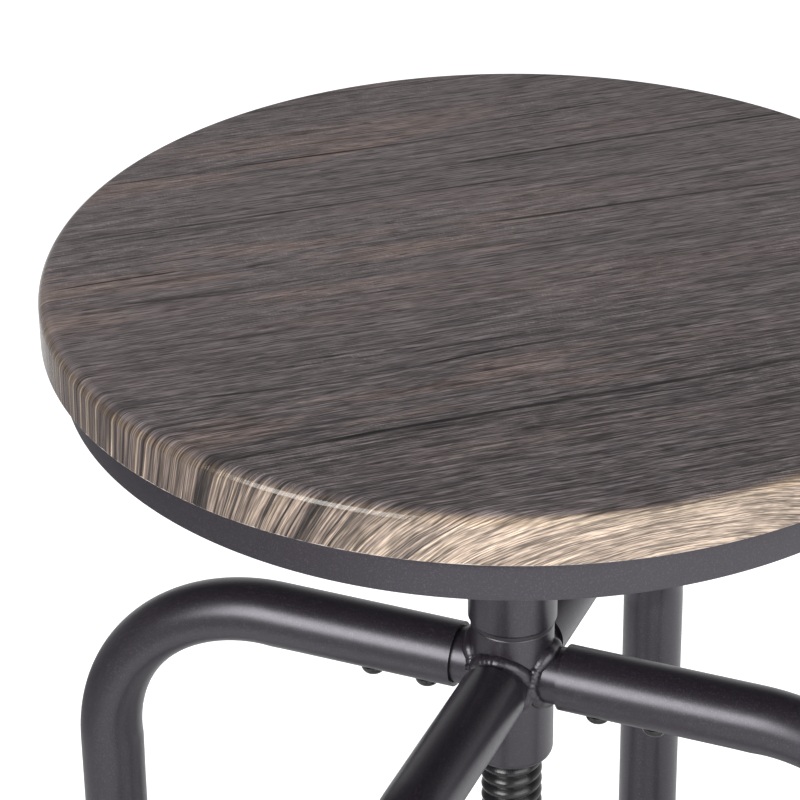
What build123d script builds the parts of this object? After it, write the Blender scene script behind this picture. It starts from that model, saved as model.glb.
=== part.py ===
from build123d import *
import os
from math import sqrt

# Screw-adjusted swivel bar stool: a round board seat on a pressed steel pan, lifted by a coarse
# screw that turns in a hub, on four bent-tube legs with a ring footrest.
# Millimetres, +Z up, origin on the floor under the middle of the seat. The legs point along
# +X (right), +Y (back), -X (left) and -Y (front). The seat is screwed right down.

# Heights above the floor
SEAT_HEIGHT_LOW = 610.0       # top of the seat, screwed right down
SEAT_TRAVEL = 150.0           # lift of the screw
LEG_AXIS_HEIGHT = 443.0       # centre line of the legs' level stretch
FOOTREST_HEIGHT = 200.0       # centre line of the footrest ring

# Round board seat
SEAT_DIAMETER = 330.0
SEAT_THICKNESS = 18.0
SEAT_TOP_ROUND = 4.5
SEAT_BOTTOM_ROUND = 0.5

# Pan under the board: a disc whose rim is turned down
PAN_INSET = 7.0               # from the board's edge in to the outside of the rim
PAN_DEPTH = 17.2
PAN_SHEET = 1.5
PAN_BEND = 6.0                # outside radius where the disc turns into the rim
PAN_SCREW_EDGE = 24.0         # from the outside of the rim in to the wood screws

# Wood screws that hold the pan to the board
WOOD_SCREW_SHANK = 4.0
WOOD_SCREW_LENGTH = 12.0
WOOD_SCREW_HEAD = 8.0
WOOD_SCREW_HEAD_HEIGHT = 2.6

# Flange on top of the screw spindle, and its bolts into inserts in the board
FLANGE_DIAMETER = 90.0
FLANGE_THICKNESS = 4.0
FLANGE_BOLT_CIRCLE = 64.0
FLANGE_BOLT_SHANK = 6.0
FLANGE_BOLT_GRIP = 9.0        # length of bolt that enters the board
FLANGE_BOLT_FLATS = 10.0
FLANGE_BOLT_HEAD_HEIGHT = 4.0
INSERT_DIAMETER = 9.0
INSERT_LENGTH = 12.0

# Screw spindle, drawn plain at the outside of its thread
SPINDLE_DIAMETER = 23.0
SPINDLE_NECK_DIAMETER = 20.0
SPINDLE_END_CHAMFER = 2.0

# Stop on the lower end of the spindle
STOP_WASHER_DIAMETER = 29.0
STOP_WASHER_THICKNESS = 3.0
STOP_CLEARANCE = 0.5          # left below the hub at full lift
STOP_SCREW_SHANK = 8.0
STOP_SCREW_LENGTH = 22.0
STOP_SCREW_FLATS = 13.0
STOP_SCREW_HEAD_HEIGHT = 5.0

# Hub: tube with its lower end rolled in, a screw nut and a guide bush
HUB_DIAMETER = 31.0
HUB_WALL = 1.5
HUB_ABOVE = 21.0              # from the legs' axis up to the top of the tube
HUB_BELOW = 38.0              # from the legs' axis down to the rolled end
HUB_ROLL = 3.5                # outside radius of the rolled end
HUB_TOP_ROUND = 1.0
NUT_LENGTH = 40.0
GUIDE_BUSH_LENGTH = 14.0
BUSH_FLANGE = 2.0

# Cover sleeve round the spindle, hung from a bush on the spindle's neck
SLEEVE_WALL = 0.7
SLEEVE_GAP = 11.65            # from the top of the stubs up to the sleeve's lower edge
SLEEVE_BUSH_LENGTH = 12.0

# Legs, and the stubs on the hub that they slide over
LEG_TUBE = 25.0
LEG_WALL = 1.5
LEG_REACH = 170.0             # from the stool's axis to a leg's upright stretch
LEG_BEND = 75.0               # centre line radius
LEG_INNER_END = 21.0          # from the stool's axis to the start of the tube
STUB_WALL = 2.0
STUB_END = 68.0               # from the stool's axis

# Two screws from beneath hold each leg on its stub
LEG_SCREW_FIRST = 34.0        # from the stool's axis
LEG_SCREW_PITCH = 22.0
LEG_SCREW_SHANK = 5.0
LEG_SCREW_HEAD = 9.5
LEG_SCREW_HEAD_HEIGHT = 3.7
LEG_SCREW_SOCKET = 3.0
LEG_NUT_FLATS = 8.0
LEG_NUT_HEIGHT = 4.0

# Footrest ring, with a saddle and a screw at each leg
RING_TUBE = 19.0
RING_WALL = 1.5
SADDLE_WEB = 2.0              # thickness between ring and leg
SADDLE_DIAMETER = 16.0
RING_SCREW_SHANK = 6.0
RING_SCREW_HEAD = 10.5
RING_SCREW_HEAD_HEIGHT = 3.3
RING_SCREW_SOCKET = 4.0
RING_NUT_FLATS = 10.0
RING_NUT_HEIGHT = 5.0

# Plastic caps on the feet
CAP_WALL = 2.0
CAP_FLOOR = 4.0
CAP_HEIGHT = 30.0
CAP_BOTTOM_ROUND = 2.5
CAP_TOP_ROUND = 0.8

# Clearances
RUN_CLEARANCE = 0.05          # radial, between the spindle and what it turns in
PRESS_GAP = 0.05              # radial, between pieces pressed or welded together
SLIP_CLEARANCE = 0.15         # radial, between a leg and its stub
SLEEVE_CLEARANCE = 0.3        # radial, between the cover sleeve and the hub
TURN_GAP = 0.2                # axial, between faces that turn on each other
HOLE_CLEARANCE = 0.25         # radial, round a screw in a drilled hole
SOCKET_DEPTH_SHARE = 0.6      # depth of a hex socket, as a share of its head's height
BUTTON_ROUND_SHARE = 0.85     # round of a button head, as a share of its height

# Places worked out from the sizes above
seat_underside = SEAT_HEIGHT_LOW - SEAT_THICKNESS
pan_underside = seat_underside - PAN_SHEET
flange_underside = pan_underside - FLANGE_THICKNESS
sleeve_top = flange_underside - TURN_GAP - BUSH_FLANGE
neck_bottom = sleeve_top - SLEEVE_BUSH_LENGTH - TURN_GAP
pan_radius = SEAT_DIAMETER / 2 - PAN_INSET
spindle_radius = SPINDLE_DIAMETER / 2

hub_top = LEG_AXIS_HEIGHT + HUB_ABOVE
hub_bottom = LEG_AXIS_HEIGHT - HUB_BELOW
hub_radius = HUB_DIAMETER / 2
hub_bore_radius = hub_radius - HUB_WALL
spindle_bottom = hub_bottom - SEAT_TRAVEL - STOP_CLEARANCE

leg_radius = LEG_TUBE / 2
leg_bore_radius = leg_radius - LEG_WALL
stub_radius = leg_bore_radius - SLIP_CLEARANCE
stub_bore_radius = stub_radius - STUB_WALL
sleeve_bottom = LEG_AXIS_HEIGHT + stub_radius + SLEEVE_GAP
sleeve_bore_radius = hub_radius + SLEEVE_CLEARANCE
sleeve_radius = sleeve_bore_radius + SLEEVE_WALL

ring_radius = LEG_REACH - leg_radius - SADDLE_WEB - RING_TUBE / 2

LEG_ANGLES = {"right": 0, "back": 90, "left": 180, "front": 270}
SCREW_ANGLES = (45, 135, 225, 315)


def upright(radius, bottom, top, at=(0, 0)):
    """Solid cylinder on a vertical axis between two heights."""
    middle = (bottom + top) / 2
    return Pos(at[0], at[1], middle) * Cylinder(radius, top - bottom)


def level(radius, inner, outer, height):
    """Solid cylinder along +X between two distances from the stool's axis."""
    middle = (inner + outer) / 2
    return Pos(middle, 0, height) * Rot(0, 90, 0) * Cylinder(radius, outer - inner)


def lowest_edges(shape):
    return shape.edges().group_by(Axis.Z)[0]


def highest_edges(shape):
    return shape.edges().group_by(Axis.Z)[-1]


def hex_prism(flats, height):
    """Hexagonal prism that stands on the XY plane, flat sides to +Y and -Y."""
    return extrude(RegularPolygon(flats / 2, 6, major_radius=False), height)


def hex_nut(flats, height, bore_radius):
    """Hexagonal nut that stands on the XY plane."""
    return hex_prism(flats, height) - upright(bore_radius, 0, height)


def button_screw(shank, length, head, head_height, socket):
    """Button-head screw along +Z, with the underside of its head on the XY plane."""
    dome = upright(head / 2, -head_height, 0)
    dome = fillet(lowest_edges(dome), head_height * BUTTON_ROUND_SHARE)
    depth = head_height * SOCKET_DEPTH_SHARE
    dome -= Pos(0, 0, -head_height) * hex_prism(socket, depth)
    return dome + upright(shank / 2, 0, length)


def hex_bolt(shank, length, flats, head_height):
    """Hexagon-head bolt along +Z, with the underside of its head on the XY plane."""
    return Pos(0, 0, -head_height) * hex_prism(flats, head_height) + upright(shank / 2, 0, length)


def around(shape, angles):
    """Copies of a shape turned about the stool's axis."""
    return [Rot(0, 0, angle) * shape for angle in angles]


def save(node, *shapes):
    """Write one node: a single solid, or a group of separate solids."""
    solids = [solid for shape in shapes for solid in shape.solids()]
    whole = solids[0] if len(solids) == 1 else Compound(children=solids)
    export_step(whole, f"parts/{node}.step")


def seat_board():
    board = upright(SEAT_DIAMETER / 2, seat_underside, SEAT_HEIGHT_LOW)
    board = fillet(highest_edges(board), SEAT_TOP_ROUND)
    board = fillet(lowest_edges(board), SEAT_BOTTOM_ROUND)
    insert_hole = upright(
        INSERT_DIAMETER / 2 + PRESS_GAP,
        seat_underside,
        seat_underside + INSERT_LENGTH,
        at=(FLANGE_BOLT_CIRCLE / 2, 0),
    )
    screw_hole = upright(
        WOOD_SCREW_SHANK / 2 + PRESS_GAP,
        seat_underside,
        pan_underside + WOOD_SCREW_LENGTH,
        at=(pan_radius - PAN_SCREW_EDGE, 0),
    )
    for hole in around(insert_hole, LEG_ANGLES.values()) + around(screw_hole, SCREW_ANGLES):
        board -= hole
    return board


def seat_inserts():
    """Threaded bushes sunk flush into the underside of the board."""
    place = (FLANGE_BOLT_CIRCLE / 2, 0)
    top = seat_underside + INSERT_LENGTH
    insert = upright(INSERT_DIAMETER / 2, seat_underside, top, at=place)
    insert -= upright(FLANGE_BOLT_SHANK / 2 + PRESS_GAP, seat_underside, top, at=place)
    return around(insert, LEG_ANGLES.values())


def seat_pan():
    pan_bottom = seat_underside - PAN_DEPTH
    outside = upright(pan_radius, pan_bottom, seat_underside)
    outside = fillet(highest_edges(outside), PAN_BEND)
    inside = upright(pan_radius - PAN_SHEET, pan_bottom, pan_underside)
    inside = fillet(highest_edges(inside), PAN_BEND - PAN_SHEET)
    pan = outside - inside
    bolt_hole = upright(
        FLANGE_BOLT_SHANK / 2 + HOLE_CLEARANCE,
        pan_underside,
        seat_underside,
        at=(FLANGE_BOLT_CIRCLE / 2, 0),
    )
    screw_hole = upright(
        WOOD_SCREW_SHANK / 2 + HOLE_CLEARANCE,
        pan_underside,
        seat_underside,
        at=(pan_radius - PAN_SCREW_EDGE, 0),
    )
    for hole in around(bolt_hole, LEG_ANGLES.values()) + around(screw_hole, SCREW_ANGLES):
        pan -= hole
    return pan


def seat_screws():
    head = upright(WOOD_SCREW_HEAD / 2, -WOOD_SCREW_HEAD_HEIGHT, 0)
    head = fillet(lowest_edges(head), WOOD_SCREW_HEAD_HEIGHT * BUTTON_ROUND_SHARE)
    screw = head + upright(WOOD_SCREW_SHANK / 2, 0, WOOD_SCREW_LENGTH)
    return around(Pos(pan_radius - PAN_SCREW_EDGE, 0, pan_underside) * screw, SCREW_ANGLES)


def spindle_flange():
    flange = upright(FLANGE_DIAMETER / 2, flange_underside, pan_underside)
    flange -= upright(SPINDLE_NECK_DIAMETER / 2 + PRESS_GAP, flange_underside, pan_underside)
    bolt_hole = upright(
        FLANGE_BOLT_SHANK / 2 + HOLE_CLEARANCE,
        flange_underside,
        pan_underside,
        at=(FLANGE_BOLT_CIRCLE / 2, 0),
    )
    for hole in around(bolt_hole, LEG_ANGLES.values()):
        flange -= hole
    return flange


def flange_bolts():
    length = FLANGE_THICKNESS + PAN_SHEET + FLANGE_BOLT_GRIP
    bolt = hex_bolt(FLANGE_BOLT_SHANK, length, FLANGE_BOLT_FLATS, FLANGE_BOLT_HEAD_HEIGHT)
    bolt = Pos(FLANGE_BOLT_CIRCLE / 2, 0, flange_underside) * bolt
    return around(bolt, LEG_ANGLES.values())


def spindle():
    shaft = upright(spindle_radius, spindle_bottom, neck_bottom)
    shaft = chamfer(lowest_edges(shaft), SPINDLE_END_CHAMFER)
    shaft += upright(SPINDLE_NECK_DIAMETER / 2, neck_bottom, pan_underside)
    stop_hole_top = spindle_bottom + STOP_SCREW_LENGTH
    return shaft - upright(STOP_SCREW_SHANK / 2 + PRESS_GAP, spindle_bottom, stop_hole_top)


def stop_washer():
    bottom = spindle_bottom - STOP_WASHER_THICKNESS
    washer = upright(STOP_WASHER_DIAMETER / 2, bottom, spindle_bottom)
    return washer - upright(STOP_SCREW_SHANK / 2 + HOLE_CLEARANCE, bottom, spindle_bottom)


def stop_screw():
    screw = hex_bolt(STOP_SCREW_SHANK, STOP_SCREW_LENGTH, STOP_SCREW_FLATS, STOP_SCREW_HEAD_HEIGHT)
    return Pos(0, 0, spindle_bottom - STOP_WASHER_THICKNESS) * screw


def sleeve_bush():
    """Flanged bush: it fills the top of the cover sleeve and turns on the spindle's neck."""
    bush = upright(sleeve_bore_radius - PRESS_GAP, sleeve_top - SLEEVE_BUSH_LENGTH, sleeve_top)
    bush += upright(sleeve_radius, sleeve_top, sleeve_top + BUSH_FLANGE)
    bore = SPINDLE_NECK_DIAMETER / 2 + RUN_CLEARANCE
    return bush - upright(bore, sleeve_top - SLEEVE_BUSH_LENGTH, sleeve_top + BUSH_FLANGE)


def cover_sleeve():
    sleeve = upright(sleeve_radius, sleeve_bottom, sleeve_top)
    return sleeve - upright(sleeve_bore_radius, sleeve_bottom, sleeve_top)


def hub_tube():
    """Tube whose lower end is rolled in to a lip round the spindle."""
    outside = upright(hub_radius, hub_bottom, hub_top)
    outside = fillet(lowest_edges(outside), HUB_ROLL)
    outside = fillet(highest_edges(outside), HUB_TOP_ROUND)
    inside = upright(hub_bore_radius, hub_bottom + HUB_WALL, hub_top)
    inside = fillet(lowest_edges(inside), HUB_ROLL - HUB_WALL)
    mouth = upright(spindle_radius + SLEEVE_CLEARANCE, hub_bottom, hub_bottom + HUB_WALL)
    return outside - inside - mouth


def spindle_nut():
    """Long round nut pressed into the hub, down to where the rolled end begins."""
    bottom = hub_bottom + HUB_ROLL
    nut = upright(hub_bore_radius - PRESS_GAP, bottom, bottom + NUT_LENGTH)
    return nut - upright(spindle_radius + RUN_CLEARANCE, bottom, bottom + NUT_LENGTH)


def guide_bush():
    """Flanged bush in the top of the hub that steadies the spindle."""
    bush = upright(hub_bore_radius - PRESS_GAP, hub_top - GUIDE_BUSH_LENGTH, hub_top)
    bush += upright(hub_radius, hub_top, hub_top + BUSH_FLANGE)
    bore = spindle_radius + RUN_CLEARANCE
    return bush - upright(bore, hub_top - GUIDE_BUSH_LENGTH, hub_top + BUSH_FLANGE)


def leg_screw_places():
    return (LEG_SCREW_FIRST, LEG_SCREW_FIRST + LEG_SCREW_PITCH)


def stub():
    """Tube welded to the hub, cut to the hub's round, with two tapped holes beneath."""
    tube = level(stub_radius, 0, STUB_END, LEG_AXIS_HEIGHT)
    tube -= level(stub_bore_radius, 0, STUB_END, LEG_AXIS_HEIGHT)
    tube -= upright(hub_radius + PRESS_GAP, hub_bottom, hub_top)
    for place in leg_screw_places():
        hole_bottom = LEG_AXIS_HEIGHT - stub_radius
        tube -= upright(LEG_SCREW_SHANK / 2 + PRESS_GAP, hole_bottom, LEG_AXIS_HEIGHT, at=(place, 0))
    return tube


def leg_path():
    corner = (LEG_REACH, 0, LEG_AXIS_HEIGHT)
    start = (LEG_INNER_END, 0, LEG_AXIS_HEIGHT)
    end = (LEG_REACH, 0, CAP_FLOOR)
    return FilletPolyline(start, corner, end, radius=LEG_BEND)


def leg():
    """Tube bent from level to upright, drilled for its screws and for the footrest's screw."""
    path = leg_path()
    section = Plane(path @ 0, z_dir=path % 0)
    tube = sweep(section * Circle(leg_radius), path) - sweep(section * Circle(leg_bore_radius), path)
    for place in leg_screw_places():
        hole_bottom = LEG_AXIS_HEIGHT - leg_radius
        tube -= upright(LEG_SCREW_SHANK / 2 + HOLE_CLEARANCE, hole_bottom, LEG_AXIS_HEIGHT, at=(place, 0))
    ring_hole = RING_SCREW_SHANK / 2 + HOLE_CLEARANCE
    return tube - level(ring_hole, LEG_REACH - leg_radius, LEG_REACH + leg_radius, FOOTREST_HEIGHT)


def nut_seat(bore_radius, flats):
    """How far from a tube's axis a hexagonal nut comes to rest on the inside of the tube."""
    corner = flats / sqrt(3)
    return sqrt(bore_radius**2 - corner**2) - PRESS_GAP


def leg_screws():
    nut_top = LEG_AXIS_HEIGHT - nut_seat(stub_bore_radius, LEG_NUT_FLATS) + LEG_NUT_HEIGHT
    head_seat = LEG_AXIS_HEIGHT - leg_radius
    length = nut_top - head_seat
    screw = button_screw(LEG_SCREW_SHANK, length, LEG_SCREW_HEAD, LEG_SCREW_HEAD_HEIGHT, LEG_SCREW_SOCKET)
    pair = [Pos(place, 0, head_seat) * screw for place in leg_screw_places()]
    return [turned for one in pair for turned in around(one, LEG_ANGLES.values())]


def leg_nuts():
    nut = hex_nut(LEG_NUT_FLATS, LEG_NUT_HEIGHT, LEG_SCREW_SHANK / 2 + PRESS_GAP)
    bottom = LEG_AXIS_HEIGHT - nut_seat(stub_bore_radius, LEG_NUT_FLATS)
    pair = [Pos(place, 0, bottom) * nut for place in leg_screw_places()]
    return [turned for one in pair for turned in around(one, LEG_ANGLES.values())]


def ring_nut_outside():
    """Distance from the stool's axis to the outer face of a nut inside the ring."""
    return ring_radius + nut_seat(RING_TUBE / 2 - RING_WALL, RING_NUT_FLATS) - PRESS_GAP


def footrest_ring():
    ring = Torus(ring_radius, RING_TUBE / 2) - Torus(ring_radius, RING_TUBE / 2 - RING_WALL)
    hole = level(RING_SCREW_SHANK / 2 + HOLE_CLEARANCE, ring_radius, LEG_REACH, 0)
    for turned in around(hole, LEG_ANGLES.values()):
        ring -= turned
    return Pos(0, 0, FOOTREST_HEIGHT) * ring


def footrest_saddles():
    """Spacers hollowed on one side to the ring and on the other to the leg."""
    saddle = level(SADDLE_DIAMETER / 2, ring_radius, LEG_REACH, FOOTREST_HEIGHT)
    saddle -= level(RING_SCREW_SHANK / 2 + HOLE_CLEARANCE, ring_radius, LEG_REACH, FOOTREST_HEIGHT)
    saddle -= Pos(0, 0, FOOTREST_HEIGHT) * Torus(ring_radius, RING_TUBE / 2 + PRESS_GAP)
    leg_low = FOOTREST_HEIGHT - SADDLE_DIAMETER
    leg_high = FOOTREST_HEIGHT + SADDLE_DIAMETER
    saddle -= upright(leg_radius + PRESS_GAP, leg_low, leg_high, at=(LEG_REACH, 0))
    return around(saddle, LEG_ANGLES.values())


def footrest_screws():
    head_seat = LEG_REACH + leg_radius
    length = head_seat - ring_nut_outside() + RING_NUT_HEIGHT
    screw = button_screw(RING_SCREW_SHANK, length, RING_SCREW_HEAD, RING_SCREW_HEAD_HEIGHT, RING_SCREW_SOCKET)
    screw = Pos(head_seat, 0, FOOTREST_HEIGHT) * Rot(0, -90, 0) * screw
    return around(screw, LEG_ANGLES.values())


def footrest_nuts():
    nut = hex_nut(RING_NUT_FLATS, RING_NUT_HEIGHT, RING_SCREW_SHANK / 2 + PRESS_GAP)
    nut = Pos(ring_nut_outside(), 0, FOOTREST_HEIGHT) * Rot(0, -90, 0) * nut
    return around(nut, LEG_ANGLES.values())


def foot_cap():
    """Moulded cap over the end of a leg, which stands on its floor."""
    place = (LEG_REACH, 0)
    bore = leg_radius + PRESS_GAP
    cap = upright(bore + CAP_WALL, 0, CAP_HEIGHT, at=place)
    cap = fillet(lowest_edges(cap), CAP_BOTTOM_ROUND)
    cap = fillet(highest_edges(cap), CAP_TOP_ROUND)
    return cap - upright(bore, CAP_FLOOR, CAP_HEIGHT, at=place)


os.makedirs("parts", exist_ok=True)

save("seat_board", seat_board())
save("seat_inserts", *seat_inserts())
save("seat_pan", seat_pan())
save("seat_screws", *seat_screws())
save("spindle_flange", spindle_flange())
save("flange_bolts", *flange_bolts())
save("spindle", spindle())
save("stop_washer", stop_washer())
save("stop_screw", stop_screw())
save("sleeve_bush", sleeve_bush())
save("cover_sleeve", cover_sleeve())
save("hub_tube", hub_tube())
save("spindle_nut", spindle_nut())
save("guide_bush", guide_bush())
save("leg_screws", *leg_screws())
save("leg_nuts", *leg_nuts())
save("footrest_ring", footrest_ring())
save("footrest_saddles", *footrest_saddles())
save("footrest_screws", *footrest_screws())
save("footrest_nuts", *footrest_nuts())

one_stub = stub()
one_leg = leg()
one_cap = foot_cap()
for side, angle in LEG_ANGLES.items():
    turn = Rot(0, 0, angle)
    save(f"stub_{side}", turn * one_stub)
    save(f"leg_{side}", turn * one_leg)
    save(f"foot_cap_{side}", turn * one_cap)
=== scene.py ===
"""Dresses the swivel bar stool: a film-wrapped round seat on a powder-coated screw frame."""
from math import pi, radians, tau

import bmesh
import bpy
import numpy as np
from bpy.props import FloatProperty, FloatVectorProperty, PointerProperty
from bpy.types import Operator, Panel, PropertyGroup
from mathutils import Matrix, Vector


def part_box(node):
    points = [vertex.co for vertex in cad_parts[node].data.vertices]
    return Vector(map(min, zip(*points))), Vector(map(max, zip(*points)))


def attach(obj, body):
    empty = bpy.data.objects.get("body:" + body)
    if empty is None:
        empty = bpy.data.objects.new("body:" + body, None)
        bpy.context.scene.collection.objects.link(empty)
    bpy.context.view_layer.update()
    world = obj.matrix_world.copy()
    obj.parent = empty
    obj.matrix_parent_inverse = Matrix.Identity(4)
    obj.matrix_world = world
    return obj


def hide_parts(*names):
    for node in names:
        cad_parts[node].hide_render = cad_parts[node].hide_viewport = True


bl_info = {
    "name": "Swivel bar stool",
    "version": (1, 0, 0),
    "blender": (4, 5, 0),
    "location": "3D View > Sidebar > Stool",
    "description": "Builds the visible surfaces, finishes and studio of a screw-adjusted bar stool",
    "category": "Object",
}

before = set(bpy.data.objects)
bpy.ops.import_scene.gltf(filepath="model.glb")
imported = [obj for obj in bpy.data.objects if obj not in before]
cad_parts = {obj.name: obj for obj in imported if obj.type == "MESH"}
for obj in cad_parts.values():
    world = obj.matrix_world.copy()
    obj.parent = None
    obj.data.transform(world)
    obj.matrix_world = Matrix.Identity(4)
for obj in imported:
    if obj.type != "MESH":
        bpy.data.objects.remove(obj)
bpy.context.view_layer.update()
MM = 0.001


def linear(hex_colour):
    """Linear colour of an sRGB hex value such as #3c3a3e."""
    srgb = np.array([int(hex_colour[i:i + 2], 16) for i in (1, 3, 5)]) / 255
    return tuple(np.where(srgb <= 0.04045, srgb / 12.92, ((srgb + 0.055) / 1.055) ** 2.4).tolist())


def reach(node):
    """Greatest distance of a node from the stool's axis, along X or Y."""
    low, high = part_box(node)
    return max(-low.x, high.x, -low.y, high.y)


def heights(node):
    """Heights of a node's lower and upper end."""
    low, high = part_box(node)
    return low.z, high.z


# Sizes and places from the frame, in metres
SEAT_RADIUS = reach("seat_board")
SEAT_BOTTOM, SEAT_TOP = heights("seat_board")
PAN_RADIUS = reach("seat_pan")
PAN_BOTTOM, PAN_TOP = heights("seat_pan")
SLEEVE_RADIUS = reach("cover_sleeve")
SLEEVE_BOTTOM, SLEEVE_TOP = heights("cover_sleeve")
HUB_RADIUS = reach("hub_tube")
HUB_BOTTOM, HUB_TOP = heights("hub_tube")
SPINDLE_RADIUS = reach("spindle")
SPINDLE_BOTTOM, SPINDLE_TOP = heights("spindle")
NECK_BOTTOM = heights("sleeve_bush")[0]

leg_low, leg_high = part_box("leg_right")
LEG_RADIUS = (leg_high.y - leg_low.y) / 2
LEG_AXIS = leg_high.z - LEG_RADIUS
LEG_REACH = leg_high.x - LEG_RADIUS
LEG_START = leg_low.x
LEG_END = leg_low.z

stub_low, stub_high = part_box("stub_right")
STUB_RADIUS = (stub_high.z - stub_low.z) / 2
STUB_END = stub_high.x

LEG_SCREW_OUTSIDE = reach("leg_screws")
LEG_SCREW_BOTTOM = heights("leg_screws")[0]
LEG_SCREW_HEAD_HEIGHT = LEG_AXIS - LEG_RADIUS - LEG_SCREW_BOTTOM

ring_low, ring_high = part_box("footrest_ring")
RING_TUBE = (ring_high.z - ring_low.z) / 2
RING_RADIUS = reach("footrest_ring") - RING_TUBE
RING_HEIGHT = (ring_high.z + ring_low.z) / 2
RING_SCREW_OUTSIDE = reach("footrest_screws")
RING_SCREW_HEAD_HEIGHT = RING_SCREW_OUTSIDE - LEG_REACH - LEG_RADIUS

cap_low, cap_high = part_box("foot_cap_right")
CAP_RADIUS = (cap_high.y - cap_low.y) / 2
CAP_TOP = cap_high.z

LEG_TURNS = {"right": 0, "back": 90, "left": 180, "front": 270}


class SeatLooks(PropertyGroup):
    top_round: FloatProperty(
        name="Top round", description="Round of the board's upper edge", default=4.5 * MM, unit="LENGTH")
    bottom_round: FloatProperty(
        name="Bottom round", description="Round of the board's lower edge", default=0.5 * MM, unit="LENGTH")
    pan_sheet: FloatProperty(
        name="Pan sheet", description="Thickness of the pressed pan", default=1.5 * MM, unit="LENGTH")
    pan_bend: FloatProperty(
        name="Pan bend", description="Outside radius of the pan's bend", default=6 * MM, unit="LENGTH")
    grain_turn: FloatProperty(
        name="Grain turn", description="Turn of the grain from the right leg",
        default=radians(39.6), subtype="ANGLE")
    film_grey: FloatVectorProperty(
        name="Film grey", description="Main colour of the print", default=linear("#6d6566"), subtype="COLOR")
    film_brown: FloatVectorProperty(
        name="Film brown", description="Warm patches of the print",
        default=linear("#7f706b"), subtype="COLOR")
    film_dark: FloatVectorProperty(
        name="Film dark", description="Dark streaks and pores of the print",
        default=linear("#2a2626"), subtype="COLOR")
    edge_tan: FloatVectorProperty(
        name="Edge tan", description="Film where it is drawn round the edge",
        default=linear("#a08f80"), subtype="COLOR")
    edge_gold: FloatVectorProperty(
        name="Edge gold", description="Film on the upper round", default=linear("#86704f"), subtype="COLOR")
    # Edge brown is also the painted shade laid over the edge towards its left
    edge_brown: FloatVectorProperty(
        name="Edge brown", description="Darker bands on the edge", default=linear("#544a46"), subtype="COLOR")
    edge_pale: FloatVectorProperty(
        name="Edge pale", description="Pale lines on the edge", default=linear("#bba88f"), subtype="COLOR")
    trim: FloatVectorProperty(
        name="Film trim", description="Cut end of the film under the edge",
        default=linear("#b9b1a8"), subtype="COLOR")
    board: FloatVectorProperty(
        name="Board", description="Bare fibreboard under the film",
        default=linear("#9a8268"), subtype="COLOR")


class MetalLooks(PropertyGroup):
    coat: FloatVectorProperty(
        name="Powder coat", description="Charcoal of the tubes and the pan",
        default=linear("#1b171d"), subtype="COLOR")
    coat_speck: FloatVectorProperty(
        name="Coat speck", description="Lighter grit in the coat", default=linear("#38333a"), subtype="COLOR")
    coat_grit: FloatProperty(
        name="Coat grit", description="Spacing of the coat's fine grain", default=0.55 * MM, unit="LENGTH")
    leg_wall: FloatProperty(
        name="Leg wall", description="Wall of the leg tubes", default=1.5 * MM, unit="LENGTH")
    leg_bend: FloatProperty(
        name="Leg bend", description="Centre line radius of a leg's bend", default=75 * MM, unit="LENGTH")
    bend_flat: FloatProperty(
        name="Bend flat", description="How far bending flattened the inside of a leg's bend", default=2 * MM,
        unit="LENGTH")
    stub_wall: FloatProperty(
        name="Stub wall", description="Wall of the stubs", default=2 * MM, unit="LENGTH")
    hub_wall: FloatProperty(
        name="Hub wall", description="Wall of the hub", default=1.5 * MM, unit="LENGTH")
    hub_roll: FloatProperty(
        name="Hub roll", description="Outside radius of the hub's rolled end",
        default=3.5 * MM, unit="LENGTH")
    hub_top_round: FloatProperty(
        name="Hub top round", description="Round of the hub's upper edge", default=1 * MM, unit="LENGTH")
    sleeve_wall: FloatProperty(
        name="Sleeve wall", description="Wall of the cover sleeve", default=0.7 * MM, unit="LENGTH")
    weld_size: FloatProperty(
        name="Weld size", description="Radius of the weld beads", default=3 * MM, unit="LENGTH")
    thread_pitch: FloatProperty(
        name="Thread pitch", description="Rise of the screw in one turn", default=5 * MM, unit="LENGTH")
    thread_depth: FloatProperty(
        name="Thread depth", description="Depth of the screw's groove", default=1.7 * MM, unit="LENGTH")
    neck_radius: FloatProperty(
        name="Neck radius", description="Plain neck at the top of the screw", default=10 * MM, unit="LENGTH")
    leg_screw_pitch: FloatProperty(
        name="Leg screw pitch", description="Between the two screws of a leg", default=22 * MM, unit="LENGTH")
    leg_screw_head: FloatProperty(
        name="Leg screw head", description="Radius of a leg screw's head", default=4.75 * MM, unit="LENGTH")
    ring_screw_head: FloatProperty(
        name="Ring screw head", description="Radius of a footrest screw's head",
        default=5.25 * MM, unit="LENGTH")
    gloss_black: FloatVectorProperty(
        name="Gloss black", description="Oiled black of the screw and fasteners", default=linear("#141416"),
        subtype="COLOR")
    zinc: FloatVectorProperty(
        name="Zinc", description="Plated fixings under the seat", default=linear("#b9babd"), subtype="COLOR")
    plastic_black: FloatVectorProperty(
        name="Plastic black", description="Moulded feet and bushes",
        default=linear("#1b1b1c"), subtype="COLOR")


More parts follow.
